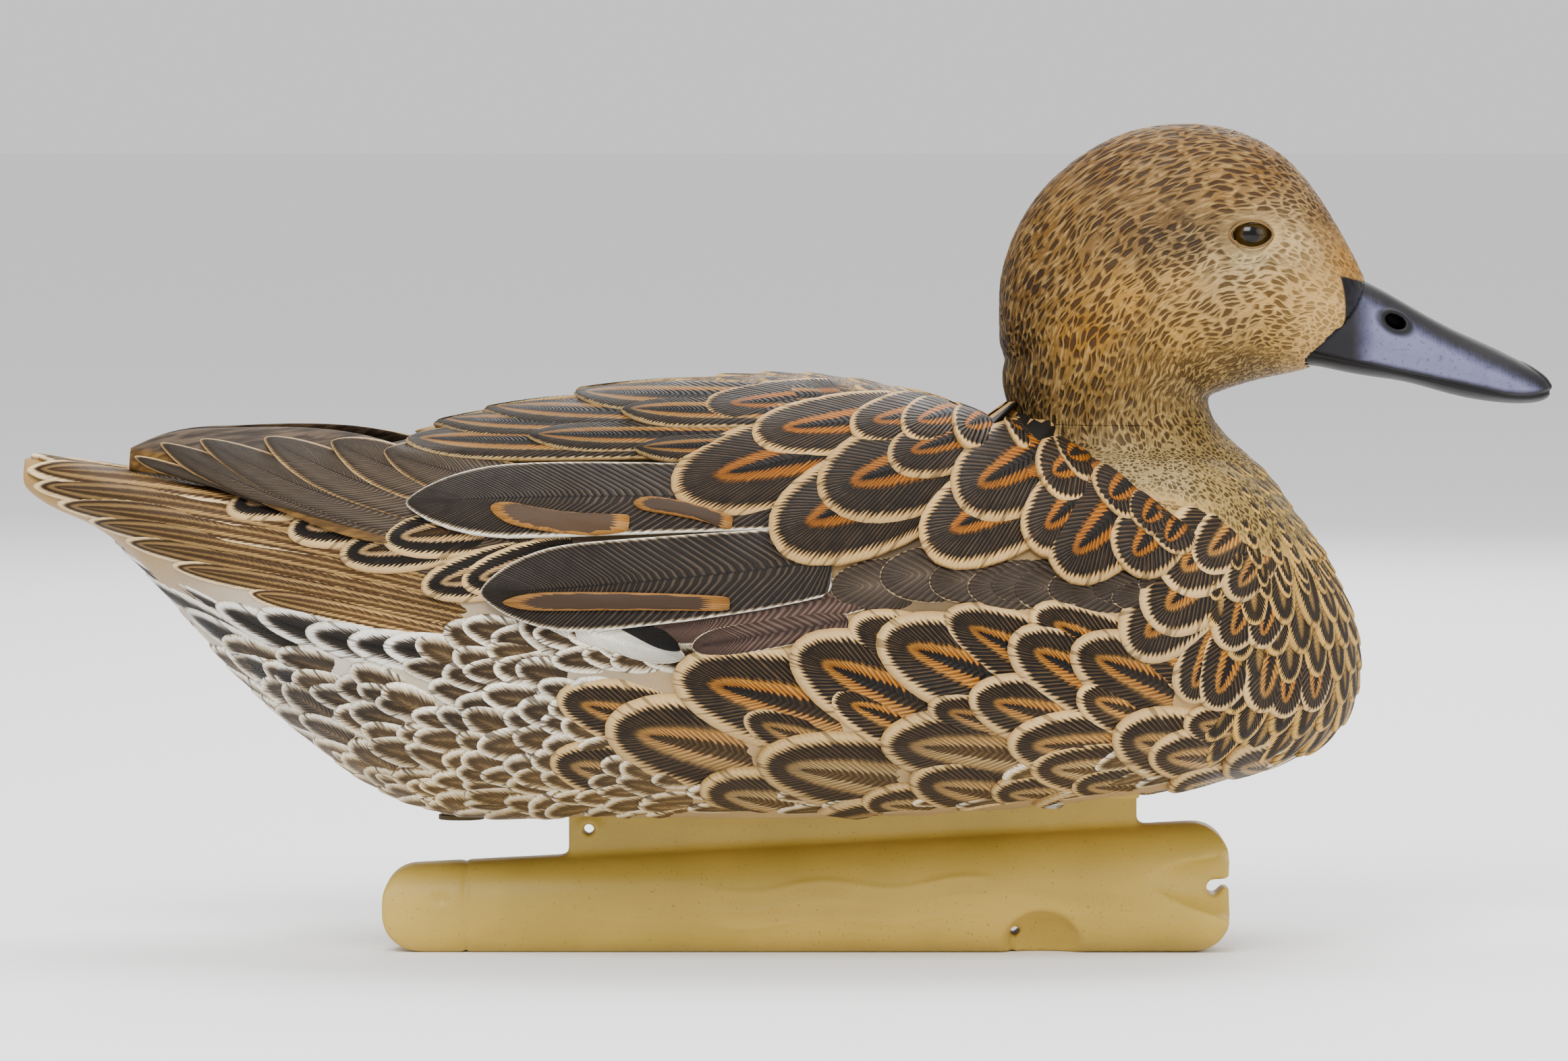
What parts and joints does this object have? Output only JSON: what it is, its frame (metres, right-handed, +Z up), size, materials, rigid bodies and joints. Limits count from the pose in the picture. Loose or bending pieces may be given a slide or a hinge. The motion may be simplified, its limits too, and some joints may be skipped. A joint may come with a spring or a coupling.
{
  "type": "floating duck decoy",
  "caption": "Hollow floating hen duck decoy with carved plumage, plug-in head, glossy bill and eyes, and a ballasted keel with cord slots.",
  "frame": {"origin": "on the keel's flat foot, below the middle of the decoy's length", "axes": "+X towards the bill, +Y to the bird's left, +Z up"},
  "size_m": [0.4326, 0.1607, 0.2346],
  "materials": {
    "body_plastic": "moulded feathers, hand-painted in brown, buff and white, matt",
    "head_plastic": "fine carved head feathers, painted buff and brown, matt",
    "bill_gloss": "slate blue-grey with a black ridge and edge, semi-gloss",
    "eye_gloss": "dark brown iris round a black pupil under a gloss dome",
    "wing_plastic": "dark grey-brown flight feathers with thin buff edges, matt",
    "keel_plastic": "olive-tan moulded plastic, satin",
    "ballast_cement": "cast sand and cement",
    "screw_steel": "stainless",
    "plug_rubber": "soft black rubber"
  },
  "bodies": {
    "root": {"body_shell": "body_plastic", "head_shell": "head_plastic", "bill": "bill_gloss", "right_eye": "eye_gloss", "left_eye": "eye_gloss", "right_wing_tip": "wing_plastic", "left_wing_tip": "wing_plastic", "keel_shell": "keel_plastic", "keel_end_plug": "keel_plastic", "front_ballast": "ballast_cement", "rear_ballast": "ballast_cement", "keel_screws": "screw_steel", "keel_washers": "screw_steel", "drain_plug": "plug_rubber"}
  },
  "joints": []
}
